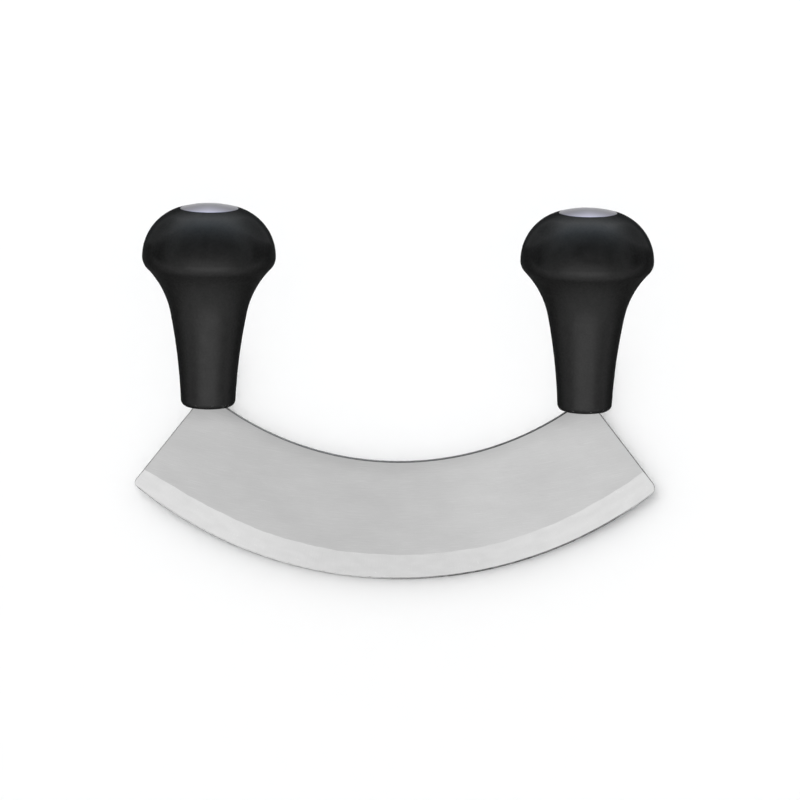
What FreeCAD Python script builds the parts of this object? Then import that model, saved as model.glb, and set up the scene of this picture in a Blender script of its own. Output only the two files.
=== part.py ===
import FreeCAD, Part
import enum
import math
import os

import Sketcher

# A single-blade mezzaluna: a ground steel crescent whose two flat tangs carry moulded knob handles.
#
# Each piece is drawn as the tool stands in use, with X along the blade, Y through its thickness and Z up
# the handles. The blade starts at the belly of its edge, and everything on a handle at the handle's foot.
# One shared placement then lays the tool down as it rests on a table, on its two knobs and the belly of its
# edge, with the knobs towards +Y and the middle of its footprint at the origin.

# A nut has six sides, so half of one side spans this angle at its middle, in degrees.
NUT_SIDES = 6
HALF_SIDE_ANGLE = 180 / NUT_SIDES

# Driving sizes in millimetres, with angles in degrees.
SIZES = {
    # Blade outline
    "corner_span": 182.0,
    "edge_radius": 142.5,
    "back_radius": 103.0,
    "blade_depth": 41.8,
    "tip_round": 2.0,
    "neck_width": 10.2,
    "neck_shift": 0.6,
    "tip_overhang": 26.0,
    # Blade section
    "blade_thickness": 2.0,
    "bevel_width": 8.4,
    "edge_thickness": 0.2,
    "spine_break": 0.25,
    # Flat tangs that enter the handles
    "tang_width": 8.0,
    "tang_thickness": 1.6,
    "tang_length": 24.0,
    "tang_root": 3.0,
    # Handle profile, with levels above its foot
    "foot_diameter": 18.9,
    "foot_round": 2.3,
    "stem_taper": 2.65,
    "stem_curve": 205.0,
    "neck_radius": 31.5,
    "bead_radius": 5.4,
    "knob_diameter": 46.0,
    "knob_level": 52.2,
    "shoulder_radius": 17.4,
    # End cap
    "cap_diameter": 20.0,
    "cap_edge": 1.4,
    "cap_round": 0.25,
    "dome_height": 1.35,
    "spigot_length": 6.0,
    "spigot_wall": 1.2,
    # Rod, washer and nut inside the handle
    "rod_diameter": 6.0,
    "rod_chamfer": 0.8,
    "fork_depth": 14.0,
    "thread_proud": 2.0,
    "washer_diameter": 12.0,
    "washer_thickness": 1.6,
    "nut_flats": 10.0,
    "nut_height": 5.0,
    "nut_bevel": 30.0,
    # Clearances
    "socket_gap": 0.1,
    "fork_gap": 0.05,
    "thread_gap": 0.05,
    "washer_gap": 0.2,
    "counterbore_room": 1.0,
    "spigot_gap": 0.05,
    "seam_gap": 0.1,
    "cap_room": 1.5,
    "overrun": 1.0,
}

# Values worked out from the driving sizes. Levels count from the handle's foot unless they say otherwise.
DERIVED = {
    # The handles stand in from the sharp corners of the blade
    "handle_spacing": "Sizes.corner_span - 2 * Sizes.tip_overhang",
    # Each neck lies a little further in than its handle, and the end cut starts at its outer corner
    "neck_inner": "(handle_spacing - Sizes.neck_width) / 2 - Sizes.neck_shift",
    "neck_outer": "neck_inner + Sizes.neck_width",
    # Height of the handle's foot above the belly of the edge, where the back arc reaches the neck
    "seat_level": "Sizes.blade_depth + Sizes.back_radius - sqrt(Sizes.back_radius^2 - neck_inner^2)",
    # Where the shoulder of the knob meets the edge of the cap
    "shoulder_centre": "Sizes.knob_diameter / 2 - Sizes.shoulder_radius",
    "rim_inset": "Sizes.cap_diameter / 2 - shoulder_centre",
    "rim_level": "Sizes.knob_level + sqrt(Sizes.shoulder_radius^2 - rim_inset^2)",
    "recess_level": "rim_level - Sizes.cap_edge",
    "top_level": "rim_level + Sizes.dome_height",
    "dome_radius": "((Sizes.cap_diameter / 2)^2 + Sizes.dome_height^2) / (2 * Sizes.dome_height)",
    # The counterbore clears the wider of washer and nut, and the spigot of the cap presses into it
    "nut_corners": f"Sizes.nut_flats / cos({HALF_SIDE_ANGLE})",
    "counterbore_radius": "max(Sizes.washer_diameter; nut_corners) / 2 + Sizes.counterbore_room",
    "spigot_radius": "counterbore_radius - Sizes.spigot_gap",
    # Washer, nut and rod end stack up under the cap
    "rod_top": "recess_level - Sizes.spigot_length - Sizes.cap_room",
    "nut_level": "rod_top - Sizes.thread_proud - Sizes.nut_height",
    "washer_level": "nut_level - Sizes.washer_thickness",
    "rod_bottom": "Sizes.tang_length - Sizes.fork_depth",
    # Tilt of the tool from the table, resting on the rear edge corner and on both knobs
    "bead_centre": "Sizes.knob_diameter / 2 - Sizes.bead_radius",
    "bead_reach": "bead_centre - Sizes.edge_thickness / 2",
    "bead_height": "seat_level + Sizes.knob_level",
    "bead_away": "hypot(bead_reach; bead_height)",
    "tilt": "(atan2(bead_reach; bead_height) + asin(Sizes.bead_radius / bead_away)) / 1 deg",
    # Furthest points of cap and edge along the table, and the shift that centres them
    "cap_reach": "(seat_level + top_level - dome_radius) * cos(tilt) + dome_radius",
    "edge_reach": "Sizes.edge_thickness / 2 * sin(tilt)",
    "lying_y": "(edge_reach - cap_reach) / 2",
    "lying_z": "Sizes.edge_thickness / 2 * cos(tilt)",
}

SIDES = ("left", "right")

# A sketch counts the points of a line or arc up from one, and its own axes down from minus one.
# Its origin is the start of its horizontal axis.
START, END, CENTRE = enum.IntEnum("Point", ["START", "END", "CENTRE"])
HORIZONTAL, VERTICAL = enum.IntEnum("Axis", [("HORIZONTAL", -1), ("VERTICAL", -2)])
ORIGIN = HORIZONTAL
ON_AXIS = "0"

doc = FreeCAD.newDocument("Mezzaluna")


def fill_sheet():
    """Write the driving sizes into the spreadsheet, each under its own name."""
    sheet = doc.addObject("Spreadsheet::Sheet", "Sizes")
    for row, (name, driving) in enumerate(SIZES.items(), start=1):
        sheet.set(f"A{row}", name)
        sheet.set(f"B{row}", str(driving))
        sheet.setAlias(f"B{row}", name)
    doc.recompute()


def fill_derived():
    """Bind the derived values and the lying placement to the sheet."""
    derived = doc.addObject("App::VarSet", "Derived")
    for name, formula in DERIVED.items():
        derived.addProperty("App::PropertyFloat", name)
        derived.setExpression(name, formula)
    derived.addProperty("App::PropertyPlacement", "lying")
    lie_down = "rotation(vector(1; 0; 0); tilt - 90)"
    derived.setExpression("lying", f"placement(vector(0; lying_y; lying_z); {lie_down})")
    doc.recompute()


def value_of(formula):
    """Present value of a formula in the named sizes."""
    return float(doc.Derived.evalExpression(formula))


def size(name):
    """Present value of one driving size."""
    return value_of(f"Sizes.{name}")


def new_body(name, place="Derived.lying"):
    """Body of one sub-part, laid on the table from its place on the standing tool."""
    body = doc.addObject("PartDesign::Body", name)
    body.Label = name
    body.setExpression("Placement", place)
    return body


def sign_of(side):
    """Which way along X a side lies."""
    return -1 if side == "left" else 1


def on_handle(side, level):
    """Placement of a piece on one handle's axis, at a level above the handle's foot."""
    upright = "rotation(vector(0; 0; 1); 0)"
    spot = f"vector({sign_of(side)} * Derived.handle_spacing / 2; 0; Derived.seat_level + {level})"
    return f"Derived.lying * placement({spot}; {upright})"


def new_sketch(body, role, name):
    """Sketch on one of the body's own origin planes."""
    sketch = body.newObject("Sketcher::SketchObject", f"{body.Name}_{name}")
    plane = next(item for item in body.Origin.OriginFeatures if item.Role == role)
    sketch.AttachmentSupport = (plane, [""])
    sketch.MapMode = "FlatFace"
    return sketch


def relate(sketch, kind, *references):
    """Add a geometric constraint."""
    return sketch.addConstraint(Sketcher.Constraint(kind, *references))


def dimension(sketch, kind, *references, formula):
    """Add a dimension and bind it to a formula."""
    index = relate(sketch, kind, *references, value_of(formula))
    sketch.setExpression(f"Constraints[{index}]", formula)


def place_point(sketch, geometry, point, across, up):
    """Fix a sketch point by formulas for its distance across and up from the origin."""
    for kind, axis, formula in (("DistanceX", VERTICAL, across), ("DistanceY", HORIZONTAL, up)):
        if formula == ON_AXIS:
            relate(sketch, "PointOnObject", geometry, point, axis)
        else:
            dimension(sketch, kind, geometry, point, formula=formula)


def flat(across, up):
    """Point in a sketch's plane."""
    return FreeCAD.Vector(across, up, 0)


def arc_about(centre, start, end):
    """Anticlockwise arc from start round to end."""
    first = math.atan2(start.y - centre.y, start.x - centre.x)
    last = math.atan2(end.y - centre.y, end.x - centre.x)
    if last < first:
        last += 2 * math.pi
    circle = Part.Circle(centre, FreeCAD.Vector(0, 0, 1), (start - centre).Length)
    return Part.ArcOfCircle(circle, first, last)


def draw_chain(sketch, corners):
    """Straight lines from corner to corner, each corner a pair of formulas for its place."""
    points = [flat(value_of(across), value_of(up)) for across, up in corners]
    lines = [
        sketch.addGeometry(Part.LineSegment(start, end), False) for start, end in zip(points, points[1:])
    ]
    for line, following in zip(lines, lines[1:]):
        relate(sketch, "Coincident", line, END, following, START)
    for line, corner in zip(lines, corners):
        place_point(sketch, line, START, *corner)
    place_point(sketch, lines[-1], END, *corners[-1])
    return lines


def close_chain(sketch, first, last):
    """Straight line from the end of a chain back to its start."""
    ends = [sketch.getPoint(last, END), sketch.getPoint(first, START)]
    line = sketch.addGeometry(Part.LineSegment(*ends), False)
    relate(sketch, "Coincident", last, END, line, START)
    relate(sketch, "Coincident", line, END, first, START)


def draw_polygon(sketch, corners):
    """Closed straight-sided outline, each corner a pair of formulas for its place."""
    lines = draw_chain(sketch, corners)
    close_chain(sketch, lines[0], lines[-1])


def draw_rectangle(sketch, left, right, bottom, top):
    """Closed rectangle from formulas for its four sides."""
    draw_polygon(sketch, [(left, bottom), (right, bottom), (right, top), (left, top)])


def draw_circle(sketch, radius):
    """Circle about the sketch's origin."""
    circle = Part.Circle(flat(0, 0), FreeCAD.Vector(0, 0, 1), value_of(radius))
    index = sketch.addGeometry(circle, False)
    relate(sketch, "Coincident", index, CENTRE, ORIGIN, START)
    dimension(sketch, "Radius", index, formula=radius)


def pad_symmetric(body, sketch, thickness):
    """Pad a sketch equally to both sides of its plane."""
    pad = body.newObject("PartDesign::Pad", f"{sketch.Name}_pad")
    pad.Profile = sketch
    pad.SideType = "Symmetric"
    pad.setExpression("Length", thickness)
    return pad


def pad_up(body, sketch, height):
    """Pad a sketch along its plane's normal."""
    pad = body.newObject("PartDesign::Pad", f"{sketch.Name}_pad")
    pad.Profile = sketch
    pad.setExpression("Length", height)
    return pad


def turn(body, kind, sketch, axis="V_Axis"):
    """Revolve a sketch all the way round one of its axes, to add material or to cut it."""
    feature = body.newObject(f"PartDesign::{kind}", f"{sketch.Name}_{kind.lower()}")
    feature.Profile = sketch
    feature.ReferenceAxis = (sketch, [axis])
    feature.Angle = 360
    return feature


def draw_blade_end(sketch, side):
    """Rounded tip, straight end cut and neck at one end of the blade, with the tip's sharp corner."""
    sign = sign_of(side)
    edge_radius = size("edge_radius")
    half_span = size("corner_span") / 2
    tip_round = size("tip_round")
    seat = value_of("Derived.seat_level")
    edge_centre = flat(0, edge_radius)
    corner = flat(sign * half_span, edge_radius - math.sqrt(edge_radius**2 - half_span**2))
    outer = flat(sign * value_of("Derived.neck_outer"), seat)
    inner = flat(sign * value_of("Derived.neck_inner"), seat)
    up_cut = (outer - corner).normalize() * tip_round
    down_edge = (corner - edge_centre).normalize().cross(FreeCAD.Vector(0, 0, sign)) * tip_round
    tip_ends = (corner + down_edge, corner + up_cut)[::sign]
    return {
        "tip": sketch.addGeometry(arc_about(corner + down_edge + up_cut, *tip_ends), False),
        "cut": sketch.addGeometry(Part.LineSegment(corner + up_cut, outer), False),
        "neck": sketch.addGeometry(Part.LineSegment(outer, inner), False),
        "corner": sketch.addGeometry(Part.Point(corner), True),
    }


def constrain_blade_end(sketch, side, end, edge, back):
    """Join one end of the blade to the edge arc and the back arc, and fix its sizes."""
    sign = sign_of(side)
    tip, cut, neck, corner = (end[name] for name in ("tip", "cut", "neck", "corner"))
    tip_at_edge, tip_at_cut = (START, END)[::sign]
    arc_end = tip_at_cut
    relate(sketch, "Tangent", edge, arc_end, tip, tip_at_edge)
    relate(sketch, "Tangent", tip, tip_at_cut, cut, START)
    dimension(sketch, "Radius", tip, formula="Sizes.tip_round")
    relate(sketch, "Coincident", cut, END, neck, START)
    relate(sketch, "Horizontal", neck)
    relate(sketch, "Coincident", neck, END, back, arc_end)
    dimension(sketch, "DistanceX", neck, START, formula=f"{sign} * Derived.neck_outer")
    dimension(sketch, "DistanceX", neck, END, formula=f"{sign} * Derived.neck_inner")
    # The end cut would meet the edge at this sharp corner if the tip were not rounded
    relate(sketch, "PointOnObject", corner, START, edge)
    relate(sketch, "PointOnObject", corner, START, cut)
    dimension(sketch, "DistanceX", corner, START, formula=f"{sign} * Sizes.corner_span / 2")


def draw_blade_outline(sketch):
    """Crescent between the edge arc and the back arc, with straight end cuts, rounded tips and two necks."""
    ends = {side: draw_blade_end(sketch, side) for side in SIDES}
    arcs = []
    for height, radius, piece, point in (
        ("Sizes.edge_radius", "Sizes.edge_radius", "tip", {"left": END, "right": START}),
        ("Sizes.blade_depth + Sizes.back_radius", "Sizes.back_radius", "neck", {"left": END, "right": END}),
    ):
        arc_ends = [sketch.getPoint(ends[side][piece], point[side]) for side in SIDES]
        arc = sketch.addGeometry(arc_about(flat(0, value_of(height)), *arc_ends), False)
        place_point(sketch, arc, CENTRE, ON_AXIS, height)
        dimension(sketch, "Radius", arc, formula=radius)
        arcs.append(arc)
    for side, end in ends.items():
        constrain_blade_end(sketch, side, end, *arcs)


def grind_bevels(body):
    """Cut a bevel on both faces, turned about the axis of the edge arc so that it keeps its width."""
    sketch = new_sketch(body, "YZ_Plane", "bevel")
    for sign in (-1, 1):
        face = f"{sign} * Sizes.blade_thickness / 2"
        edge = f"{sign} * Sizes.edge_thickness / 2"
        outside = f"{sign} * (Sizes.blade_thickness / 2 + Sizes.overrun)"
        corners = [
            (outside, "Sizes.bevel_width"),
            (face, "Sizes.bevel_width"),
            (edge, ON_AXIS),
            (edge, "-Sizes.overrun"),
            (outside, "-Sizes.overrun"),
        ]
        draw_polygon(sketch, corners)
    axis_ends = [flat(-size("blade_thickness"), size("edge_radius")), flat(0, size("edge_radius"))]
    axis = sketch.addGeometry(Part.LineSegment(*axis_ends), True)
    place_point(sketch, axis, START, "-Sizes.blade_thickness", "Sizes.edge_radius")
    place_point(sketch, axis, END, ON_AXIS, "Sizes.edge_radius")
    return turn(body, "Groove", sketch, "Axis0")


def add_tang(body, side):
    """Flat tang, thinner and narrower than the neck, so that the neck's shoulders seat the handle."""
    middle = f"{sign_of(side)} * Derived.handle_spacing / 2"
    sketch = new_sketch(body, "XZ_Plane", f"{side}_tang")
    draw_rectangle(
        sketch,
        f"{middle} - Sizes.tang_width / 2",
        f"{middle} + Sizes.tang_width / 2",
        "Derived.seat_level - Sizes.tang_root",
        "Derived.seat_level + Sizes.tang_length",
    )
    return pad_symmetric(body, sketch, "Sizes.tang_thickness")


def spine_edges(shape):
    """Names of the long arcs where the back of the blade meets its two faces."""
    names = []
    for number, edge in enumerate(shape.Edges, start=1):
        on_arc = isinstance(edge.Curve, Part.Circle)
        if on_arc and math.isclose(edge.Curve.Radius, size("back_radius")):
            names.append(f"Edge{number}")
    return names


def make_blade():
    """Stamped crescent, ground on both faces, with its spine eased and a tang for each handle."""
    body = new_body("blade")
    outline = new_sketch(body, "XZ_Plane", "outline")
    draw_blade_outline(outline)
    pad_symmetric(body, outline, "Sizes.blade_thickness")
    ground = grind_bevels(body)
    doc.recompute()
    spine = body.newObject("PartDesign::Chamfer", "blade_spine")
    spine.Base = (ground, spine_edges(ground.Shape))
    spine.setExpression("Size", "Sizes.spine_break")
    for side in SIDES:
        add_tang(body, side)
    return body


def lay_out_handle():
    """Arc centres of a handle's half section, and the points where one arc runs into the next."""
    taper = math.radians(size("stem_taper"))
    outward = flat(math.cos(taper), -math.sin(taper))
    normal = FreeCAD.Vector(0, 0, 1)
    level = size("knob_level")
    foot = flat(size("foot_diameter") / 2 - size("foot_round"), size("foot_round"))
    stem_foot = foot + outward * size("foot_round")
    stem = stem_foot + outward * size("stem_curve")
    bead = flat(value_of("Derived.bead_centre"), level)
    shoulder = flat(value_of("Derived.shoulder_centre"), level)
    # The neck arc touches the stem arc from inside and the bead arc from outside, below the bead
    inside_stem = Part.Circle(stem, normal, size("stem_curve") - size("neck_radius"))
    outside_bead = Part.Circle(bead, normal, size("neck_radius") + size("bead_radius"))
    meetings = [flat(point.X, point.Y) for point in inside_stem.intersectCC(outside_bead)]
    neck = min(meetings, key=lambda point: point.y)
    centres = {"foot": foot, "stem": stem, "neck": neck, "bead": bead, "shoulder": shoulder}
    joins = {
        "foot": flat(foot.x, 0),
        "stem_foot": stem_foot,
        "stem_end": stem + (neck - stem).normalize() * size("stem_curve"),
        "neck_end": neck + (bead - neck).normalize() * size("neck_radius"),
        "equator": flat(size("knob_diameter") / 2, level),
        "rim": flat(size("cap_diameter") / 2, value_of("Derived.rim_level")),
    }
    return centres, joins


def draw_handle_profile(sketch):
    """Half section of a handle: rounded foot, flared stem, neck, rounded equator and domed shoulder."""
    centres, joins = lay_out_handle()

    def add_line(start, end):
        return sketch.addGeometry(Part.LineSegment(start, end), False)

    def add_arc(name, start, end, radius):
        arc = sketch.addGeometry(arc_about(centres[name], joins[start], joins[end]), False)
        dimension(sketch, "Radius", arc, formula=f"Sizes.{radius}")
        return arc

    axis_top = flat(0, joins["rim"].y)
    bottom = add_line(flat(0, 0), joins["foot"])
    foot = add_arc("foot", "foot", "stem_foot", "foot_round")
    stem = add_arc("stem", "stem_end", "stem_foot", "stem_curve")
    neck = add_arc("neck", "neck_end", "stem_end", "neck_radius")
    bead = add_arc("bead", "neck_end", "equator", "bead_radius")
    shoulder = add_arc("shoulder", "equator", "rim", "shoulder_radius")
    top = add_line(joins["rim"], axis_top)
    axis = add_line(axis_top, flat(0, 0))

    relate(sketch, "Coincident", bottom, START, ORIGIN, START)
    relate(sketch, "Horizontal", bottom)
    relate(sketch, "Tangent", bottom, END, foot, START)
    relate(sketch, "Tangent", foot, END, stem, END)
    relate(sketch, "Tangent", stem, START, neck, END)
    relate(sketch, "Tangent", neck, START, bead, START)
    relate(sketch, "Tangent", bead, END, shoulder, START)
    relate(sketch, "Coincident", shoulder, END, top, START)
    relate(sketch, "Horizontal", top)
    relate(sketch, "Coincident", top, END, axis, START)
    relate(sketch, "Vertical", axis)
    relate(sketch, "Coincident", axis, END, ORIGIN, START)

    foot_inset = "Sizes.foot_diameter / 2 - Sizes.foot_round"
    stem_drop = "Sizes.foot_round - (Sizes.foot_round + Sizes.stem_curve) * sin(Sizes.stem_taper)"
    dimension(sketch, "DistanceX", foot, CENTRE, formula=foot_inset)
    dimension(sketch, "DistanceY", stem, CENTRE, formula=stem_drop)
    place_point(sketch, bead, CENTRE, "Derived.bead_centre", "Sizes.knob_level")
    dimension(sketch, "DistanceY", shoulder, CENTRE, formula="Sizes.knob_level")
    dimension(sketch, "DistanceX", shoulder, END, formula="Sizes.cap_diameter / 2")


def bore_handle(body):
    """Blind bore for the rod, counterbore for washer, nut and spigot, and the shallow seat of the cap."""
    sketch = new_sketch(body, "XZ_Plane", "bore")
    bore = "Sizes.rod_diameter / 2 + Sizes.socket_gap"
    bottom = "Derived.rod_bottom - Sizes.socket_gap"
    recess = "Sizes.cap_diameter / 2 + Sizes.seam_gap"
    above = "Derived.rim_level + Sizes.overrun"
    corners = [
        (ON_AXIS, bottom),
        (bore, bottom),
        (bore, "Derived.washer_level"),
        ("Derived.counterbore_radius", "Derived.washer_level"),
        ("Derived.counterbore_radius", "Derived.recess_level"),
        (recess, "Derived.recess_level"),
        (recess, above),
        (ON_AXIS, above),
    ]
    draw_polygon(sketch, corners)
    turn(body, "Groove", sketch)


def slot_handle(body):
    """Slot from the foot up, for the flat tang."""
    sketch = new_sketch(body, "XY_Plane", "slot")
    half_width = "(Sizes.tang_width / 2 + Sizes.socket_gap)"
    half_depth = "(Sizes.tang_thickness / 2 + Sizes.socket_gap)"
    draw_rectangle(sketch, f"-{half_width}", half_width, f"-{half_depth}", half_depth)
    slot = body.newObject("PartDesign::Pocket", f"{sketch.Name}_pocket")
    slot.Profile = sketch
    slot.Reversed = True
    slot.setExpression("Length", "Sizes.tang_length + Sizes.socket_gap")


def make_handle(side):
    """Moulded mushroom knob with its stepped bore and tang slot."""
    body = new_body(f"{side}_handle", on_handle(side, "0"))
    profile = new_sketch(body, "XZ_Plane", "profile")
    draw_handle_profile(profile)
    turn(body, "Revolution", profile)
    bore_handle(body)
    slot_handle(body)
    return body


def make_tang_rod(side):
    """Round rod with a forked lower end that straddles the tang and a plain end for the nut."""
    body = new_body(f"{side}_tang_rod", on_handle(side, "0"))
    profile = new_sketch(body, "XZ_Plane", "profile")
    radius = "Sizes.rod_diameter / 2"
    corners = [
        (ON_AXIS, "Derived.rod_bottom"),
        (radius, "Derived.rod_bottom"),
        (radius, "Derived.rod_top - Sizes.rod_chamfer"),
        (f"{radius} - Sizes.rod_chamfer", "Derived.rod_top"),
        (ON_AXIS, "Derived.rod_top"),
    ]
    draw_polygon(profile, corners)
    turn(body, "Revolution", profile)
    slit = new_sketch(body, "YZ_Plane", "slit")
    half_slit = "(Sizes.tang_thickness / 2 + Sizes.fork_gap)"
    below = "Derived.rod_bottom - Sizes.overrun"
    draw_rectangle(slit, f"-{half_slit}", half_slit, below, "Sizes.tang_length")
    fork = body.newObject("PartDesign::Pocket", f"{slit.Name}_pocket")
    fork.Profile = slit
    fork.SideType = "Symmetric"
    fork.setExpression("Length", "Sizes.rod_diameter + Sizes.overrun")
    return body


def make_washer(side):
    """Plain washer on the floor of the counterbore."""
    body = new_body(f"{side}_washer", on_handle(side, "Derived.washer_level"))
    sketch = new_sketch(body, "XY_Plane", "ring")
    draw_circle(sketch, "Sizes.washer_diameter / 2")
    draw_circle(sketch, "Sizes.rod_diameter / 2 + Sizes.washer_gap")
    pad_up(body, sketch, "Sizes.washer_thickness")
    return body


def make_nut(side):
    """Hexagon nut with its corners turned off at both ends."""
    body = new_body(f"{side}_nut", on_handle(side, "Derived.nut_level"))
    sketch = new_sketch(body, "XY_Plane", "hexagon")
    corner = "Derived.nut_corners / 2"
    turns = [HALF_SIDE_ANGLE * (2 * number + 1) for number in range(NUT_SIDES)]
    draw_polygon(sketch, [(f"{corner} * cos({turned})", f"{corner} * sin({turned})") for turned in turns])
    draw_circle(sketch, "Sizes.rod_diameter / 2 + Sizes.thread_gap")
    pad_up(body, sketch, "Sizes.nut_height")
    bevel = new_sketch(body, "XZ_Plane", "corners")
    inner = "Sizes.nut_flats / 2"
    outer = "Derived.nut_corners / 2 + Sizes.overrun"
    rise = f"({outer} - {inner}) * tan(Sizes.nut_bevel)"
    upper = "Sizes.nut_height"
    draw_polygon(bevel, [(inner, ON_AXIS), (outer, ON_AXIS), (outer, rise)])
    draw_polygon(bevel, [(inner, upper), (outer, f"{upper} - {rise}"), (outer, upper)])
    turn(body, "Groove", bevel)
    return body


def rim_edge(shape, radius, height):
    """Name of the circle about Z with this radius and height."""
    for number, edge in enumerate(shape.Edges, start=1):
        round_edge = isinstance(edge.Curve, Part.Circle)
        if not round_edge or not math.isclose(edge.Curve.Radius, radius):
            continue
        if math.isclose(edge.Curve.Center.z, height):
            return f"Edge{number}"
    raise RuntimeError("the end cap has no rim to round")


def make_end_cap(side):
    """Domed disc, flush with the knob's shoulder, on a hollow spigot that presses into the counterbore."""
    body = new_body(f"{side}_end_cap", on_handle(side, "Derived.recess_level"))
    sketch = new_sketch(body, "XZ_Plane", "profile")
    edge = "Sizes.cap_diameter / 2"
    spigot = "Derived.spigot_radius"
    hollow = f"{spigot} - Sizes.spigot_wall"
    below = "-Sizes.spigot_length"
    crown = "Sizes.cap_edge + Sizes.dome_height"
    corners = [
        (ON_AXIS, ON_AXIS),
        (hollow, ON_AXIS),
        (hollow, below),
        (spigot, below),
        (spigot, ON_AXIS),
        (edge, ON_AXIS),
        (edge, "Sizes.cap_edge"),
    ]
    lines = draw_chain(sketch, corners)
    middle = flat(0, value_of(f"{crown} - Derived.dome_radius"))
    dome_ends = (sketch.getPoint(lines[-1], END), flat(0, value_of(crown)))
    dome = sketch.addGeometry(arc_about(middle, *dome_ends), False)
    relate(sketch, "Coincident", lines[-1], END, dome, START)
    relate(sketch, "PointOnObject", dome, CENTRE, VERTICAL)
    place_point(sketch, dome, END, ON_AXIS, crown)
    close_chain(sketch, lines[0], dome)
    turned = turn(body, "Revolution", sketch)
    doc.recompute()
    rounding = body.newObject("PartDesign::Fillet", f"{body.Name}_rounding")
    rounding.Base = (turned, [rim_edge(turned.Shape, value_of(edge), size("cap_edge"))])
    rounding.setExpression("Radius", "Sizes.cap_round")
    return body


def check_document(bodies):
    """Stop if anything failed, a cut removed nothing, a sketch is loose or a piece is not one solid."""
    for item in doc.Objects:
        if "Invalid" in item.State or "Error" in item.State:
            raise RuntimeError(f"{item.Label} failed: {item.State}")
        if item.TypeId in ("PartDesign::Pocket", "PartDesign::Groove"):
            if item.Shape.Volume >= item.BaseFeature.Shape.Volume:
                raise RuntimeError(f"{item.Label} cuts nothing")
        if item.TypeId == "Sketcher::SketchObject" and not item.FullyConstrained:
            raise RuntimeError(f"{item.Label} is not fully constrained")
    for body in bodies:
        shape = body.Shape
        if shape.isNull() or not shape.isValid() or len(shape.Solids) != 1:
            raise RuntimeError(f"{body.Label} is not one valid solid")


fill_sheet()
fill_derived()
bodies = [make_blade()]
for make_piece in (make_handle, make_tang_rod, make_washer, make_nut, make_end_cap):
    bodies += [make_piece(side) for side in SIDES]
doc.recompute()
check_document(bodies)
os.makedirs("parts", exist_ok=True)
for body in bodies:
    body.Shape.exportStep(f"parts/{body.Label}.step")
    print(f"{body.Label}: {body.Shape.Volume:.1f} mm3, {len(body.Shape.Faces)} faces")
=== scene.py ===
import math

import bmesh
import bpy
from mathutils import Matrix, Vector


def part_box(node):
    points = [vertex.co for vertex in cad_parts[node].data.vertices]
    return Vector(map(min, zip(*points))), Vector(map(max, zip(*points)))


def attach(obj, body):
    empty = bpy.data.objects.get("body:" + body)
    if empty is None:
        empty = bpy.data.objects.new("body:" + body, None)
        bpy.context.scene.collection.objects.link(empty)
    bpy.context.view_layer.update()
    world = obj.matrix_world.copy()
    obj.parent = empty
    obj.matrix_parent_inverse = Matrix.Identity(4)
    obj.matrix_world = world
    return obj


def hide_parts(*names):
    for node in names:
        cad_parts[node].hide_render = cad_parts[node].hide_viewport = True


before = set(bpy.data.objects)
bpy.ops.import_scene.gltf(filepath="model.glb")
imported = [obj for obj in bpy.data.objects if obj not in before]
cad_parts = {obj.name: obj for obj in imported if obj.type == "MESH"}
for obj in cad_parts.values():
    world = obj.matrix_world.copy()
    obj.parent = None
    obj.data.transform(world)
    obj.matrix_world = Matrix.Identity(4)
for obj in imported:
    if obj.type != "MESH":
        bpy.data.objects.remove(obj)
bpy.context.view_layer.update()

# Lengths are written in millimetres and turned into Blender's metres where they are used.
MM = 0.001

# Blade outline and section, as the CAD model has them
CORNER_SPAN = 182.0
EDGE_RADIUS = 142.5
BACK_RADIUS = 103.0
BLADE_DEPTH = 41.8
TIP_ROUND = 2.0
NECK_WIDTH = 10.2
NECK_SHIFT = 0.6
HANDLE_SPACING = 130.0
BLADE_THICKNESS = 2.0
BEVEL_WIDTH = 8.4
EDGE_THICKNESS = 0.2
TANG_WIDTH = 8.0
TANG_THICKNESS = 1.6
TANG_LENGTH = 24.0
TANG_ROOT = 3.0

# Finer forms of the blade: the right tip is rounder, the edge is honed, and rims and tangs are rounded
RIGHT_TIP_ROUND = 3.0
HONED_WIDTH = 0.5
RIM_ROUND = 0.14
BACK_ROUND = 0.38
TANG_ROUND = 0.2

# The bevel is widest in the middle and narrows near its ends, the later the higher the power
MIDDLE_BEVEL_WIDTH = 8.8
LEFT_BEVEL_WIDTH = 6.5
NARROWING_POWER = 16

# Waves of the bevel's hand-ground line: how many half waves fit along it, and how high each is
WANDER_WAVES = ((5, 0.09), (14, 0.07), (39, 0.06), (101, 0.035))

# Rows and columns of the blade's mesh
EDGE_COLUMNS = 240
BACK_COLUMNS = 60
HONED_STEPS = 4
TIP_STEPS = 6
BEVEL_STEPS = 3
ROUND_STEPS = 4
TANG_ROUND_STEPS = 2

# Level of the knob's widest ring above the foot of a handle
KNOB_LEVEL = 52.2

# End cap as the CAD model has it, with the level of its rim above the foot of the handle
CAP_RADIUS = 10.0
CAP_LEVEL = 69.034
CAP_EDGE = 1.4
CAP_ROUND = 0.25
DOME_HEIGHT = 1.35
SPIGOT_RADIUS = 6.95
SPIGOT_WALL = 1.2
SPIGOT_LENGTH = 6.0

# Steps of a cap's mesh round its axis and over its dome, and the least angle of its sharp edges
CAP_COLUMNS = 96
DOME_STEPS = 12
SHARP_DEGREES = 50.0

# How near two points count as one, and how far the finer meshes stay inside the CAD model's facets
MERGE_REACH = 0.001
FACET_GAP = 0.01

# Camera almost straight above the tool, with a long lens: its aim, its distance, and its turns in degrees
CAMERA_AIM = (1.25, -2.4, 10.0)
CAMERA_DISTANCE = 1990.0
CAMERA_ROLL = 0.7
CAMERA_TILT = 0.8
CAMERA_LENS = 258.99
CAMERA_SENSOR = 36.0
CAMERA_REACH = 20000.0

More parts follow.
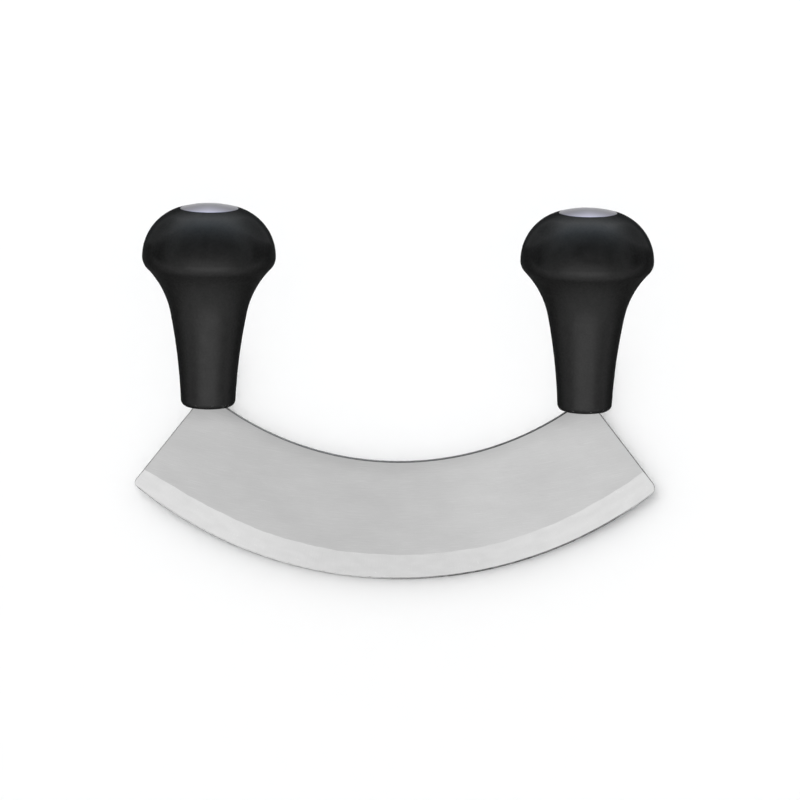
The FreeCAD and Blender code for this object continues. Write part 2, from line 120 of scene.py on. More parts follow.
# Floor, and how far light spreads inside its paper
FLOOR_WIDTH = 30000.0
PAPER_SPREAD = 28.0

# Softboxes: their distance from the tool, their sizes, and the azimuths of those for the blade alone
BOX_DISTANCE = 1000.0
FRONT_BOX_SIZE = (1700.0, 880.0)
BACK_BOX_SIZE = (1800.0, 250.0)
FILL_BOX_SIZE = (900.0, 700.0)
FILL_AZIMUTHS = (80, 130, 180, 230, 280)

# Colours of light, and the slight tints of the metals
WHITE = (1.0, 1.0, 1.0)
COOL_LIGHT = (0.66, 0.84, 1.0)
COOL_TINT = (0.955, 0.945, 1.16)
WARM_TINT = (1.0, 0.99, 0.95)

# Ranges that shares rise or fall over, the one in which most of a noise lies, and the noise's middle
RISING = (0.0, 1.0)
FALLING = (1.0, 0.0)
NOISE_CORE = (0.3, 0.7)
NOISE_MIDDLE = 0.5

# Finishes of the blade, in the order of its materials
BRUSHED, GROUND, HONED, BLANKED = range(4)

# Handles by their side, each with its place along the blade
HANDLES = {"left": -HANDLE_SPACING / 2, "right": HANDLE_SPACING / 2}

# Worked out from the blade's sizes: the middles of its arcs, the sides of its necks, and the handles' feet
DOWN = Vector((0.0, -1.0))
EDGE_CENTRE = Vector((0.0, EDGE_RADIUS))
BACK_CENTRE = Vector((0.0, BLADE_DEPTH + BACK_RADIUS))
NECK_INNER = (HANDLE_SPACING - NECK_WIDTH) / 2 - NECK_SHIFT
NECK_OUTER = NECK_INNER + NECK_WIDTH
SEAT_LEVEL = BACK_CENTRE.y - math.sqrt(BACK_RADIUS**2 - NECK_INNER**2)


def lying_place():
    """Matrix that lays the standing tool down as the CAD model has it, by the tilt of the blade's faces."""
    broadest = max(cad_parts["blade"].data.polygons, key=lambda polygon: polygon.area)
    tilt = math.atan2(abs(broadest.normal.y), abs(broadest.normal.z))
    half_edge = EDGE_THICKNESS / 2 * MM
    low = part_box("blade")[0]
    belly = Vector((0.0, low.y + half_edge * math.sin(tilt), half_edge * math.cos(tilt)))
    return Matrix.Translation(belly) @ Matrix.Rotation(tilt - math.pi / 2, 4, "X")


LYING = lying_place()


class Shader:
    """Node tree of one material, built up from its patterns to its surface."""

    def __init__(self, name):
        self.material = bpy.data.materials.new(name)
        self.material.use_nodes = True
        self.tree = self.material.node_tree
        self.tree.nodes.clear()

    def add(self, kind, inputs, **settings):
        """One shader node, with its settings and its inputs set or linked."""
        made = self.tree.nodes.new(f"ShaderNode{kind}")
        for name, value in settings.items():
            setattr(made, name, value)
        for name, value in inputs.items():
            if isinstance(value, bpy.types.NodeSocket):
                self.tree.links.new(value, made.inputs[name])
            else:
                made.inputs[name].default_value = value
        return made

    def math(self, operation, *values):
        """Result of a sum on numbers."""
        return self.add("Math", dict(enumerate(values)), operation=operation).outputs[0]

    def vector(self, operation, *values):
        """Node for a sum on vectors."""
        return self.add("VectorMath", dict(enumerate(values)), operation=operation)

    def split(self, vector):
        """The three numbers of a vector."""
        return self.add("SeparateXYZ", {"Vector": vector}).outputs

    def place(self):
        """Place on the tool in millimetres, in the frame of the standing tool."""
        standing = LYING.inverted()
        move = {
            "Vector": self.add("TexCoord", {}).outputs["Object"],
            "Location": standing.translation / MM,
            "Rotation": standing.to_euler(),
            "Scale": (1 / MM,) * 3,
        }
        return self.add("Mapping", move).outputs[0]

    def reach(self, first, second):
        """Length of the hypotenuse over two sides."""
        sides = self.add("CombineXYZ", {"X": first, "Y": second}).outputs[0]
        return self.vector("LENGTH", sides).outputs["Value"]

    def unrolled(self, radius):
        """Place on the blade with the arcs about a point this far above its belly rolled out straight."""
        x, y, z = self.split(self.place())
        drop = self.math("SUBTRACT", radius, z)
        along = self.math("MULTIPLY", self.math("ARCTAN2", x, drop), radius)
        across = self.math("SUBTRACT", radius, self.reach(x, drop))
        return self.add("CombineXYZ", {"X": along, "Y": across, "Z": y}).outputs[0]

    def depth_from_back(self):
        """Distance of a place on the blade from the arc of its back, in millimetres."""
        x, _, z = self.split(self.place())
        drop = self.math("SUBTRACT", z, BACK_CENTRE.y)
        return self.math("SUBTRACT", self.reach(x, drop), BACK_RADIUS)

    def on_handle(self):
        """Place on a handle in millimetres: sideways and rearwards from its axis, and up from its foot."""
        x, y, z = self.split(self.place())
        aside = self.math("SUBTRACT", self.math("ABSOLUTE", x), HANDLE_SPACING / 2)
        return aside, y, self.math("SUBTRACT", z, SEAT_LEVEL)

    def noise(self, vector, cell, detail):
        """Noise from 0 to 1 whose cells have these sizes in millimetres."""
        spread = self.vector("DIVIDE", vector, cell).outputs[0]
        return self.add("TexNoise", {"Vector": spread, "Scale": 1.0, "Detail": detail}).outputs["Fac"]

    def span(self, value, source, target, kind="LINEAR"):
        """Value carried from one range to another and held at its ends."""
        limits = {
            "Value": value,
            "From Min": source[0],
            "From Max": source[1],
            "To Min": target[0],
            "To Max": target[1],
        }
        return self.add("MapRange", limits, interpolation_type=kind).outputs[0]

    def ease(self, value, source, target):
        """Value carried from one range to another with a soft start and a soft end."""
        return self.span(value, source, target, "SMOOTHSTEP")

    def total(self, *values):
        """Sum of several numbers."""
        whole = values[0]
        for value in values[1:]:
            whole = self.math("ADD", whole, value)
        return whole

    def grey(self, value, tint=WHITE):
        """Colour of this lightness, with a slight tint."""
        colour = self.add("CombineColor", {"Red": value, "Green": value, "Blue": value}).outputs[0]
        return self.vector("MULTIPLY", colour, tint).outputs[0]

    def bump(self, height, depth):
        """Surface direction over a relief of this depth in millimetres."""
        relief = {"Height": height, "Strength": 1.0, "Distance": depth * MM}
        return self.add("Bump", relief).outputs["Normal"]

    def surface(self, **inputs):
        """End the tree in a Principled surface."""
        names = {name.replace("_", " "): value for name, value in inputs.items()}
        shader = self.add("BsdfPrincipled", names)
        self.add("OutputMaterial", {"Surface": shader.outputs["BSDF"]})
        return self.material


def brushed_steel():
    """Flat of the blade: strokes along a wide arc, soft clouds, painted light to the right and at the left
    end, and painted shade by the back and the handles.
    """
    stroke_radius = 330.0
    stroke_cell = (5.0, 0.42, 5.0)
    stroke_depth = 0.005
    scratch_cell = (9.0, 0.16, 9.0)
    cloud_cell = (22.0, 9.0, 22.0)
    painted_light_reach = (-10.0, 45.0)
    painted_left_light_reach = (-50.0, -80.0)
    # Painted shade: the flat grows darker within a few millimetres of the back.
    painted_back_shade_reach = (0.0, 6.0)
    # Painted shade: the flat grows darker just below the feet of the handles.
    painted_foot_shade = 8.0
    painted_foot_shade_reach = (SEAT_LEVEL - painted_foot_shade, SEAT_LEVEL)
    shader = Shader("brushed_steel")
    place = shader.unrolled(stroke_radius)
    along = shader.split(place)[0]
    height = shader.split(shader.place())[2]
    strokes = shader.noise(place, stroke_cell, detail=3.0)
    scratches = shader.noise(place, scratch_cell, detail=1.0)
    clouds = shader.noise(place, cloud_cell, detail=3.0)
    # Painted light and shade in the tone: lighter to the right and a little at the left end, darker under
    # the handles' feet and along the back.
    tone = shader.total(
        shader.ease(along, painted_light_reach, target=(0.487, 0.545)),
        shader.ease(along, painted_left_light_reach, target=(0.0, 0.018)),
        shader.ease(height, painted_foot_shade_reach, target=(0.0, -0.08)),
        shader.span(strokes, source=(0.2, 0.8), target=(-0.03, 0.03)),
        shader.span(scratches, source=(0.62, 0.72), target=(0.0, 0.05)),
        shader.span(clouds, source=(0.25, 0.75), target=(-0.022, 0.022)),
        shader.ease(shader.depth_from_back(), painted_back_shade_reach, target=(-0.05, 0.0)),
    )
    return shader.surface(
        Base_Color=shader.grey(tone),
        Metallic=1.0,
        Roughness=shader.span(strokes, NOISE_CORE, target=(0.33, 0.41)),
        Normal=shader.bump(strokes, stroke_depth),
    )


def ground_steel():
    """Bevel of the blade: ground across the edge, brighter than the flat, with painted light near its ends.
    """
    mark_cell = (0.5, 4.5, 4.5)
    mark_depth = 0.004
    blotch_cell = (7.0, 2.6, 7.0)
    speck_cell = (0.7, 0.7, 0.7)
    painted_light_reach = (12.0, 68.0)
    shader = Shader("ground_steel")
    place = shader.unrolled(EDGE_RADIUS)
    marks = shader.noise(place, mark_cell, detail=2.0)
    blotches = shader.noise(place, blotch_cell, detail=3.0)
    specks = shader.noise(place, speck_cell, detail=1.0)
    aside = shader.math("ABSOLUTE", shader.split(place)[0])
    # Painted light: the tone grows lighter towards both ends of the bevel.
    tone = shader.total(
        shader.ease(aside, painted_light_reach, target=(0.584, 0.642)),
        shader.span(marks, source=(0.2, 0.8), target=(-0.02, 0.02)),
        shader.span(blotches, source=(0.25, 0.75), target=(-0.025, 0.025)),
        shader.span(specks, source=(0.7, 0.8), target=(0.0, 0.08)),
    )
    return shader.surface(
        Base_Color=shader.grey(tone),
        Metallic=1.0,
        Roughness=shader.span(marks, NOISE_CORE, target=(0.34, 0.42)),
        Normal=shader.bump(marks, mark_depth),
    )


def honed_steel():
    """Honed strip along the edge: fine, with small nicks, and with painted shade making it darker on the
    right as far as its tip.
    """
    nick_cell = (2.2, 0.4, 0.4)
    nick_depth = 0.006
    painted_edge_shade_reach = (-25.0, 25.0)
    tip_reach = (78.0, 90.0)
    shader = Shader("honed_steel")
    place = shader.unrolled(EDGE_RADIUS)
    along = shader.split(place)[0]
    nicks = shader.noise(place, nick_cell, detail=2.0)
    # Painted shade: the strip darkens from the middle to the right and is eased lighter again at the right
    # tip.
    tone = shader.total(
        shader.ease(along, painted_edge_shade_reach, target=(0.52, 0.15)),
        shader.ease(along, tip_reach, target=(0.0, 0.3)),
        shader.span(nicks, source=(0.35, 0.7), target=(-0.06, 0.12)),
    )
    return shader.surface(
        Base_Color=shader.grey(tone),
        Metallic=1.0,
        Roughness=shader.span(nicks, NOISE_CORE, target=(0.26, 0.38)),
        Normal=shader.bump(nicks, nick_depth),
    )


def blanked_steel():
    """Back, necks, end cuts and tangs of the blade: sheared metal darkened partly by painted shade, paler
    towards the left by painted light.
    """
    shear_cell = (0.3, 1.5, 0.3)
    shear_depth = 0.01
    shader = Shader("blanked_steel")
    place = shader.place()
    along = shader.split(place)[0]
    marks = shader.noise(place, shear_cell, detail=2.0)
    # Painted shade and light: the tone is very dark, and paler towards the left.
    tone = shader.total(
        shader.span(along, source=(-NECK_INNER, NECK_INNER), target=(0.22, 0.08)),
        shader.span(marks, NOISE_CORE, target=(0.0, 0.1)),
    )
    return shader.surface(
        Base_Color=shader.grey(tone),
        Metallic=1.0,
        Roughness=0.5,
        Normal=shader.bump(marks, shear_depth),
    )


def foot_scuffs(shader, place, level):
    """Lightness of the few pale scuffs just above the foot of a handle."""
    scuff_cell = (1.6, 0.5, 1.6)
    start_levels = (0.0, 0.2)
    end_levels = (0.9, 2.0)
    pattern = shader.noise(place, scuff_cell, detail=2.0)
    scuffs = shader.span(pattern, source=(0.6, 0.68), target=(0.0, 0.16))
    started = shader.span(level, start_levels, RISING)
    near_foot = shader.math("MULTIPLY", started, shader.span(level, end_levels, FALLING))
    return shader.math("MULTIPLY", scuffs, near_foot)


def handle_dullness(shader, aside, level):
    """How dull a handle is: least on the crown, which the palm polishes, and most where it turns away."""
    polish_rises = (4.0, 11.0)
    polish_offsets = (5.0, 16.0)
    neck_rises = (-4.0, 3.0)
    crown_rises = (3.0, 15.0)
    rim_turns = (0.05, 0.6)
    flank_turns = (0.08, 0.34)
    outline_turns = (0.4, 0.76)
    rise = shader.math("SUBTRACT", level, KNOB_LEVEL)
    turned = shader.add("LayerWeight", {"Blend": 0.5}).outputs["Facing"]
    below_palm = shader.ease(rise, polish_rises, FALLING)
    beside_palm = shader.ease(shader.math("ABSOLUTE", aside), polish_offsets, target=(0.0, 0.7))
    unpolished = shader.math("MAXIMUM", below_palm, beside_palm)
    rim = shader.math("MULTIPLY", shader.ease(turned, rim_turns, RISING), unpolished)
    above_neck = shader.ease(rise, neck_rises, RISING)
    on_flank = shader.math("MULTIPLY", above_neck, shader.ease(rise, crown_rises, FALLING))
    flank = shader.math("MULTIPLY", shader.ease(turned, flank_turns, target=(0.0, 0.9)), on_flank)
    outline = shader.span(turned, outline_turns, RISING)
    return shader.math("MAXIMUM", shader.math("MAXIMUM", rim, flank), outline)


def moulded_plastic():
    """Handles: black, with a fine matt grain, a polished crown and a few pale scuffs at the foot."""
    grain_cell = (0.75, 0.75, 0.75)
    grain_depth = 0.024
    mottle_cell = (3.5, 3.5, 3.5)
    shader = Shader("moulded_plastic")
    place = shader.place()
    aside, _, level = shader.on_handle()
    grain = shader.noise(place, grain_cell, detail=3.0)
    mottle = shader.noise(place, mottle_cell, detail=3.0)
    dull = handle_dullness(shader, aside, level)
    tone = shader.total(
        shader.span(mottle, NOISE_CORE, target=(0.013, 0.021)),
        shader.span(grain, NOISE_CORE, target=(-0.004, 0.004)),
        foot_scuffs(shader, place, level),
    )
    rough = shader.total(
        shader.span(dull, RISING, target=(0.43, 0.92)),
        shader.span(mottle, NOISE_CORE, target=(0.0, 0.1)),
    )
    return shader.surface(
        Base_Color=shader.grey(tone),
        Roughness=rough,
        Specular_IOR_Level=shader.span(dull, RISING, target=(0.56, 0.1)),
        Normal=shader.bump(grain, grain_depth),
    )


def satin_aluminium():
    """End caps: cool pale metal with fine turned rings, and a painted highlight towards the front and the
    rear.
    """
    ring_cell = (0.3, 0.3, 0.3)
    ring_depth = 0.003
    plain_reach = (0.0, 2.5)
    side_loss = 0.25
    painted_gleam_reach = (0.0, CAP_RADIUS)
    painted_gleam_power = 2.0
    shader = Shader("satin_aluminium")
    aside, rear, _ = shader.on_handle()
    radius = shader.reach(aside, rear)
    turned = shader.noise(shader.add("CombineXYZ", {"X": radius}).outputs[0], ring_cell, detail=1.0)
    uneven = shader.math("SUBTRACT", turned, NOISE_MIDDLE)
    rings = shader.math("MULTIPLY_ADD", uneven, shader.ease(radius, plain_reach, RISING), NOISE_MIDDLE)
    # Painted highlight: the tone is lighter towards the front and rear rims and darker across the middle.
    sideways = shader.math("MULTIPLY", shader.math("ABSOLUTE", aside), side_loss)
    lengthways = shader.math("SUBTRACT", shader.math("ABSOLUTE", rear), sideways)
    painted_gleam = shader.math("POWER", shader.span(lengthways, painted_gleam_reach, RISING), painted_gleam_power)
    tone = shader.total(
        shader.span(painted_gleam, RISING, target=(0.108, 0.61)),
        shader.span(rings, NOISE_CORE, target=(-0.012, 0.012)),
    )
    return shader.surface(
        Base_Color=shader.grey(tone, COOL_TINT),
        Metallic=1.0,
        Roughness=shader.span(rings, NOISE_CORE, target=(0.26, 0.34)),
        Normal=shader.bump(rings, ring_depth),
    )


def plated_steel():
    """Rods, washers and nuts inside the handles: plated, a little cloudy, with rings from turning."""
    cloud_cell = (1.5, 1.5, 1.5)
    ring_cell = (0.4, 0.4, 0.4)
    ring_depth = 0.004
    shader = Shader("plated_steel")
    aside, rear, level = shader.on_handle()
    section = {"X": level, "Y": shader.reach(aside, rear)}
    clouds = shader.noise(shader.place(), cloud_cell, detail=3.0)
    rings = shader.noise(shader.add("CombineXYZ", section).outputs[0], ring_cell, detail=1.0)
    tone = shader.total(
        shader.span(clouds, NOISE_CORE, target=(0.46, 0.56)),
        shader.span(rings, NOISE_CORE, target=(-0.02, 0.02)),
    )
    return shader.surface(
        Base_Color=shader.grey(tone, WARM_TINT),
        Metallic=1.0,
        Roughness=shader.span(clouds, NOISE_CORE, target=(0.3, 0.45)),
        Normal=shader.bump(rings, ring_depth),
    )


def studio_paper():
    """Floor: white to the camera, to mirrors and to glass, and grey to what it lights."""
    shader = Shader("studio_paper")
    path = shader.add("LightPath", {}).outputs
    mirrored = shader.math("MAXIMUM", path["Is Glossy Ray"], path["Is Transmission Ray"])
    seen = shader.math("MAXIMUM", mirrored, path["Is Camera Ray"])
    paper = {
        "Base Color": (0.9, 0.9, 0.9, 1.0),
        "Roughness": 1.0,
        "Specular IOR Level": 0.0,
        "Subsurface Weight": 1.0,
        "Subsurface Radius": WHITE,
        "Subsurface Scale": PAPER_SPREAD * MM,
        "Emission Color": (*WHITE, 1.0),
        "Emission Strength": 0.02,
    }
    white = shader.add("BsdfPrincipled", paper, subsurface_method="BURLEY").outputs["BSDF"]
    grey = shader.add("BsdfDiffuse", {"Color": (0.25, 0.25, 0.25, 1.0)}).outputs["BSDF"]
    mixed = shader.add("MixShader", {0: seen, 1: grey, 2: white}).outputs[0]
    shader.add("OutputMaterial", {"Surface": mixed})
    return shader.material


def wander(share):
    """How far the line of the bevel strays at a share of the way along the edge."""
    return sum(height * math.sin(math.pi * count * share) for count, height in WANDER_WAVES)


def bevel_at(share):
    """Width of the bevel at a share of the way from the left end to the right end."""
    at_left = (LEFT_BEVEL_WIDTH - MIDDLE_BEVEL_WIDTH) * (1 - share)**NARROWING_POWER
    at_right = (BEVEL_WIDTH - MIDDLE_BEVEL_WIDTH) * share**NARROWING_POWER
    return MIDDLE_BEVEL_WIDTH + at_left + at_right + wander(share)


def depth_of(point):
    """Distance of a point of the outline from the arc of the edge, and exactly zero on that arc."""
    depth = EDGE_RADIUS - (point - EDGE_CENTRE).length
    return depth if depth > MERGE_REACH else 0.0


def half_thickness(depth, bevel):
    """Half the blade's thickness at a depth from the edge, where the bevel has this width."""
    slope = (BLADE_THICKNESS - EDGE_THICKNESS) / 2 / bevel
    rounded = 1 - (1 - min(depth / HONED_WIDTH, 1))**2
    return min(EDGE_THICKNESS / 2 * math.sqrt(rounded) + depth * slope, BLADE_THICKNESS / 2)


def climb(start, up, reach):
    """First point up a line that is this far from the middle of the edge's arc."""
    offset = start - EDGE_CENTRE
    rise = offset.dot(up)
    return start - up * (rise + math.sqrt(rise**2 - offset.length_squared + reach**2))


def mitre(first, second):
    """Inward direction at the corner of two sides, as long as keeps both sides' inset the same."""
    return (first + second) / (1 + first.dot(second))


def end_outline(bevel, tip_round):
    """Points with inward directions up the blade's right end: round its tip, and up its cut to the neck."""
    half_span = CORNER_SPAN / 2 - FACET_GAP
    corner = Vector((half_span, EDGE_RADIUS - math.sqrt(EDGE_RADIUS**2 - half_span**2)))
    outer = Vector((NECK_OUTER, SEAT_LEVEL))
    up = (outer - corner).normalized()
    inward = Vector((-up.y, up.x))
    middle = climb(corner + inward * tip_round, up, EDGE_RADIUS - tip_round)
    lowest = (middle - EDGE_CENTRE).normalized()
    honed_turn = math.acos(1 - HONED_WIDTH / tip_round)
    rest_turn = lowest.angle(-inward) - honed_turn
    turns = [honed_turn * step / HONED_STEPS for step in range(HONED_STEPS)]
    turns += [honed_turn + rest_turn * step / TIP_STEPS for step in range(TIP_STEPS + 1)]
    outline = []
    for turn in turns:
        outward = Matrix.Rotation(turn, 2) @ lowest
        outline.append((middle + outward * tip_round, -outward))
    tip_depth = depth_of(outline[-1][0])
    for step in range(1, BEVEL_STEPS + 1):
        depth = tip_depth + (bevel - tip_depth) * step / BEVEL_STEPS
        outline.append((climb(corner, up, EDGE_RADIUS - depth), inward))
    return outline + [(outer, mitre(inward, DOWN))]


def back_outline():
    """Points with inward directions from the neck's inner corner along the back to its middle."""
    inner = Vector((NECK_INNER, SEAT_LEVEL))
    spoke = inner - BACK_CENTRE
    swing = spoke.angle(DOWN)
    outline = [(inner, mitre(DOWN, spoke.normalized()))]
    for step in range(1, BACK_COLUMNS + 1):
        turned = Matrix.Rotation(-swing * step / BACK_COLUMNS, 2) @ spoke
        outline.append((BACK_CENTRE + turned, turned.normalized()))
    return outline


def half_outline(bevel, tip_round):
    """Stations from the right tip to the middle of the back: place, inward, bevel and rim round."""
    end = [(point, inward, bevel, RIM_ROUND) for point, inward in end_outline(bevel, tip_round)]
    return end + [(point, inward, bevel, BACK_ROUND) for point, inward in back_outline()]


def whole_outline():
    """Stations from the left end of the edge over the back to its right end."""
    flip = Matrix(((-1.0, 0.0), (0.0, 1.0)))
    left = []
    for point, inward, *rest in half_outline(LEFT_BEVEL_WIDTH, TIP_ROUND):
        left.append((flip @ point, flip @ inward, *rest))
    right = half_outline(BEVEL_WIDTH, RIGHT_TIP_ROUND)
    return left + right[-2::-1]


def rim_ring(mesh, point, inward, bevel, rim_round):
    """Vertices round the rim at one station, from the front face over two round edges to the rear."""
    round_size = min(rim_round, half_thickness(depth_of(point), bevel) / 2)
    half = half_thickness(depth_of(point + inward * round_size), bevel)
    front = []
    for step in range(ROUND_STEPS + 1):
        turn = math.pi / 2 * step / ROUND_STEPS
        spot = point + inward * (round_size * (1 - math.sin(turn)))
        front.append(Vector((spot.x, round_size * (1 - math.cos(turn)) - half, spot.y)))
    rear = [Vector((spot.x, -spot.y, spot.z)) for spot in reversed(front)]
    return [mesh.verts.new(spot * MM) for spot in front + rear]


def bevel_row(mesh, left, right, side):
    """Vertices of one row of the bevel between its two end vertices, on the front (-1) or the rear (1)."""
    ends = [Vector((vertex.co.x, vertex.co.z)) / MM for vertex in (left, right)]
    left_depth, right_depth = [depth_of(end) / bevel_at(share) for share, end in enumerate(ends)]
    left_angle, right_angle = [math.atan2(end.x, EDGE_RADIUS - end.y) for end in ends]
    row = [left]
    for column in range(1, EDGE_COLUMNS):
        share = column / EDGE_COLUMNS
        depth = (left_depth + (right_depth - left_depth) * share) * bevel_at(share)
        angle = left_angle + (right_angle - left_angle) * share
        reach = EDGE_RADIUS - depth
        half = half_thickness(depth, bevel_at(share))
        spot = Vector((reach * math.sin(angle), side * half, EDGE_RADIUS - reach * math.cos(angle)))
        row.append(mesh.verts.new(spot * MM))
    return row + [right]


def skin(mesh, rows, finish):
    """Faces between rows of vertices, in one finish."""
    for low, high in zip(rows, rows[1:]):
        for column in range(len(low) - 1):
            corners = (low[column], low[column + 1], high[column + 1], high[column])
            mesh.faces.new(corners).material_index = finish


def add_blade_side(mesh, rings, side):
    """Edge, bevel and flat of one side of the blade. Bevel and flat meet in a crisp line."""
    pick = 0 if side < 0 else -1
    count = HONED_STEPS + TIP_STEPS + BEVEL_STEPS + 1
    rows = [bevel_row(mesh, rings[row][pick], rings[-1 - row][pick], side) for row in range(count)]
    skin(mesh, rows[:HONED_STEPS + 1], HONED)
    skin(mesh, rows[HONED_STEPS:], GROUND)
    line = rows[-1]
    over_back = [ring[pick] for ring in rings[count:-count]]
    mesh.faces.new(line + over_back[::-1]).material_index = BRUSHED
    for first, second in zip(line, line[1:]):
        mesh.edges.get((first, second)).smooth = False


def add_tang(mesh, x):
    """Flat tang that runs up into one handle."""
    size = Vector((TANG_WIDTH, TANG_THICKNESS, TANG_ROOT + TANG_LENGTH))
    middle = Vector((x, 0.0, SEAT_LEVEL + (TANG_LENGTH - TANG_ROOT) / 2))
    place = Matrix.Translation(middle * MM) @ Matrix.Diagonal(size * MM).to_4x4()
    corners = bmesh.ops.create_cube(mesh, size=1.0, matrix=place)["verts"]
    edges = {edge for corner in corners for edge in corner.link_edges}
    made = bmesh.ops.bevel(
        mesh,
        geom=list(edges),
        offset=TANG_ROUND * MM,
        segments=TANG_ROUND_STEPS,
        profile=0.5,
        affect="EDGES",
    )
    for face in {face for vertex in made["verts"] for face in vertex.link_faces}:
        face.material_index = BLANKED


def close_and_lay(mesh, place):
    """Join a standing mesh's seams, turn its faces outwards, and lay it in its place, shaded smoothly."""
    bmesh.ops.remove_doubles(mesh, verts=mesh.verts, dist=MERGE_REACH * MM)
    bmesh.ops.recalc_face_normals(mesh, faces=mesh.faces)
    mesh.transform(place)
    for face in mesh.faces:
        face.smooth = True


def finished_mesh(mesh, name, *materials):
    """Mesh data from a working mesh, with its materials."""
    data = bpy.data.meshes.new(name)
    mesh.to_mesh(data)
    mesh.free()
    for material in materials:
        data.materials.append(material)
    return data


def blade_mesh():
    """Mesh of the blade, built standing on the belly of its edge and then laid down."""
    mesh = bmesh.new()
    rings = [rim_ring(mesh, *station) for station in whole_outline()]
    skin(mesh, rings, BLANKED)
    for side in (-1, 1):
        add_blade_side(mesh, rings, side)
    for x in HANDLES.values():
        add_tang(mesh, x)
    close_and_lay(mesh, LYING)
    finishes = (brushed_steel(), ground_steel(), honed_steel(), blanked_steel())
    return finished_mesh(mesh, "ground_blade", *finishes)


def cap_section():
    """Radii and levels of an end cap's half section, from its underside round its rim and over its dome."""
    rim = CAP_LEVEL - FACET_GAP
    seat = rim - CAP_EDGE
    foot = seat - SPIGOT_LENGTH
    hollow = SPIGOT_RADIUS - SPIGOT_WALL
    section = [(0.0, seat), (hollow, seat), (hollow, foot)]
    section += [(SPIGOT_RADIUS, foot), (SPIGOT_RADIUS, seat), (CAP_RADIUS, seat)]
    dome_radius = (CAP_RADIUS**2 + DOME_HEIGHT**2) / (2 * DOME_HEIGHT)
    dome_centre = rim + DOME_HEIGHT - dome_radius
    round_centre = CAP_RADIUS - CAP_ROUND
    swing = math.asin(round_centre / (dome_radius - CAP_ROUND))
    round_level = dome_centre + (dome_radius - CAP_ROUND) * math.cos(swing)
    for step in range(ROUND_STEPS + 1):
        turn = (math.pi / 2 - swing) * step / ROUND_STEPS
        radius = round_centre + CAP_ROUND * math.cos(turn)
        section.append((radius, round_level + CAP_ROUND * math.sin(turn)))
    for step in range(1, DOME_STEPS + 1):
        turn = swing * (1 - step / DOME_STEPS)
        section.append((dome_radius * math.sin(turn), dome_centre + dome_radius * math.cos(turn)))
    return section


def cap_mesh(x, material):
    """Mesh of an end cap, turned from its half section about the axis of its handle."""
    mesh = bmesh.new()
    spots = []
    for radius, level in cap_section():
        spots.append(mesh.verts.new(Vector((radius, 0.0, SEAT_LEVEL + level)) * MM))
    lines = [mesh.edges.new(ends) for ends in zip(spots, spots[1:])]
    bmesh.ops.spin(
        mesh,
        geom=spots + lines,
        axis=(0.0, 0.0, 1.0),
        cent=(0.0, 0.0, 0.0),
        steps=CAP_COLUMNS,
        angle=2 * math.pi,
    )
    close_and_lay(mesh, LYING @ Matrix.Translation((x * MM, 0.0, 0.0)))
    for edge in mesh.edges:
        edge.smooth = edge.calc_face_angle() < math.radians(SHARP_DEGREES)
    return finished_mesh(mesh, "turned_cap", material)


def add_object(name, data):
    """Object for a mesh, lamp or camera, linked into the scene."""
    made = bpy.data.objects.new(name, data)
    bpy.context.collection.objects.link(made)
    return made


def add_blade():
    """Blade in its finer form: bevels with a hand-ground line, rounded rims and tangs."""
    blade = add_object("ground_blade", blade_mesh())
    blade.modifiers.new("Even shading", "WEIGHTED_NORMAL").keep_sharp = True
    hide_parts("blade")
    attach(blade, "root")
    return blade


def add_caps():
    """End caps in the CAD model's form, turned with a clean pole."""
    material = satin_aluminium()
    caps = []
    for side, x in HANDLES.items():
        cap = add_object(f"{side}_turned_cap", cap_mesh(x, material))
        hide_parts(f"{side}_end_cap")
        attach(cap, "root")
        caps.append(cap)
    return caps


def dress_nodes():
    """Give the CAD nodes that stay their materials."""
    plastic = moulded_plastic()
    plated = plated_steel()
    finishes = {"handle": plastic, "tang_rod": plated, "washer": plated, "nut": plated}
    for side in HANDLES:
        for kind, material in finishes.items():
            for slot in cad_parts[f"{side}_{kind}"].material_slots:
                slot.material = material


def add_floor():
    """Plain white floor under the tool."""
    mesh = bmesh.new()
    bmesh.ops.create_grid(mesh, x_segments=1, y_segments=1, size=FLOOR_WIDTH / 2 * MM)
    floor = add_object("floor", finished_mesh(mesh, "floor", studio_paper()))
    return floor


def add_world(level):
    """Even, weak light from all round."""
    world = bpy.data.worlds.new("studio")
    bpy.context.scene.world = world
    world.use_nodes = True
    background = world.node_tree.nodes["Background"]
    background.inputs["Color"].default_value = (*WHITE, 1.0)
    background.inputs["Strength"].default_value = level


def aimed(azimuth, tilt):
    """Turn of a lamp or camera that faces the tool: azimuth 0 is the edge's side, tilt 0 is overhead."""
    return Matrix.Rotation(math.radians(azimuth), 4, "Z") @ Matrix.Rotation(math.radians(tilt), 4, "X")


def group_of(name, members):
    """Collection of objects that a lamp lights or is shaded by."""
    group = bpy.data.collections.new(name)
    for member in members:
        group.objects.link(member)
    return group


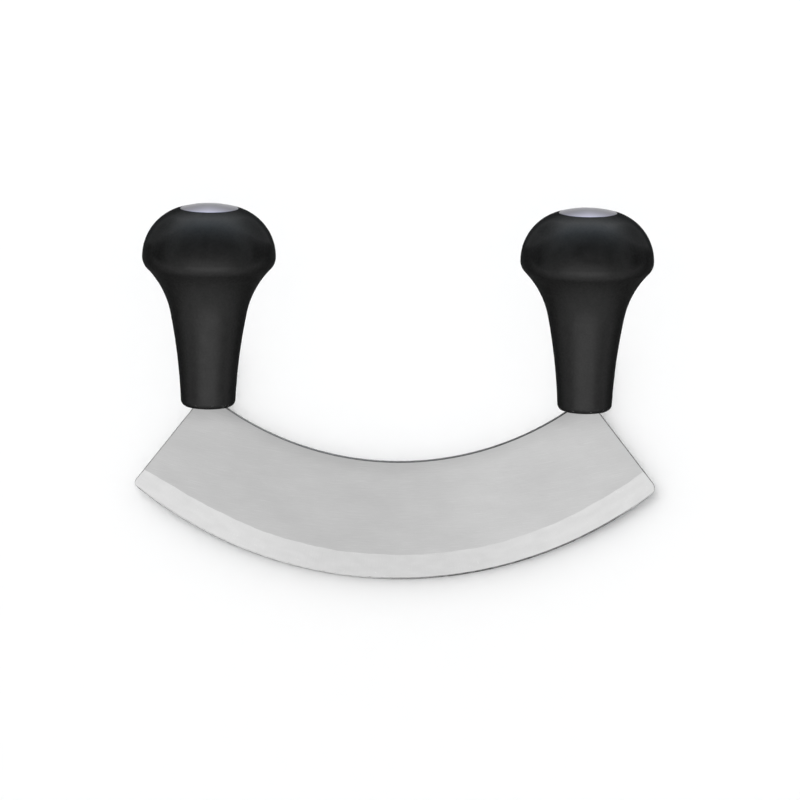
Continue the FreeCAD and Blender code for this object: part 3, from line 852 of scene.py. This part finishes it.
def add_box(name, azimuth, tilt, size, level, colour=WHITE):
    """Softbox of this size that shines at the tool."""
    lamp = bpy.data.lights.new(name, "AREA")
    lamp.shape = "RECTANGLE"
    lamp.size, lamp.size_y = [side * MM for side in size]
    lamp.energy = level * math.pi * lamp.size * lamp.size_y
    lamp.color = colour
    box = add_object(name, lamp)
    box.matrix_world = aimed(azimuth, tilt) @ Matrix.Translation((0.0, 0.0, BOX_DISTANCE * MM))
    box.visible_camera = False
    return box


def add_tool_lights(blade, caps):
    """Softboxes: one in front for the tool, a cool low one behind for all, and five for the blade alone."""
    tool = [blade, *caps, *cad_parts.values()]
    front_box = add_box("front_box", azimuth=-4, tilt=34, size=FRONT_BOX_SIZE, level=1.22)
    front_box.light_linking.receiver_collection = group_of("lit_tool", tool)
    add_box("back_box", azimuth=180, tilt=82, size=BACK_BOX_SIZE, level=1.88, colour=COOL_LIGHT)
    lit_blade = group_of("lit_blade", [blade])
    for azimuth in FILL_AZIMUTHS:
        fill = add_box(f"fill_{azimuth}", azimuth, tilt=58, size=FILL_BOX_SIZE, level=0.6)
        fill.light_linking.receiver_collection = lit_blade


def add_floor_light(floor, blade, azimuth, tilt, level, breadth):
    """Broad light for the floor alone, which whitens it and lets only the blade shade it."""
    lamp = bpy.data.lights.new("floor_light", "SUN")
    lamp.energy = level * math.pi
    lamp.angle = math.radians(breadth)
    light = add_object("floor_light", lamp)
    light.matrix_world = aimed(azimuth, tilt)
    light.light_linking.receiver_collection = group_of("lit_floor", [floor])
    light.light_linking.blocker_collection = group_of("shading_blade", [blade])


def add_camera():
    """Camera that looks down on the tool."""
    data = bpy.data.cameras.new("camera")
    data.lens = CAMERA_LENS
    data.sensor_width = CAMERA_SENSOR
    data.clip_end = CAMERA_REACH * MM
    camera = add_object("camera", data)
    aim = Matrix.Translation(Vector(CAMERA_AIM) * MM)
    away = Matrix.Translation((0.0, 0.0, CAMERA_DISTANCE * MM))
    camera.matrix_world = aim @ aimed(CAMERA_ROLL, CAMERA_TILT) @ away
    bpy.context.scene.camera = camera


bpy.context.scene.view_settings.view_transform = "Standard"
add_camera()
blade = add_blade()
caps = add_caps()
dress_nodes()
floor = add_floor()
add_world(level=0.1)
add_tool_lights(blade, caps)
add_floor_light(floor, blade, azimuth=215, tilt=20, level=1.05, breadth=30)
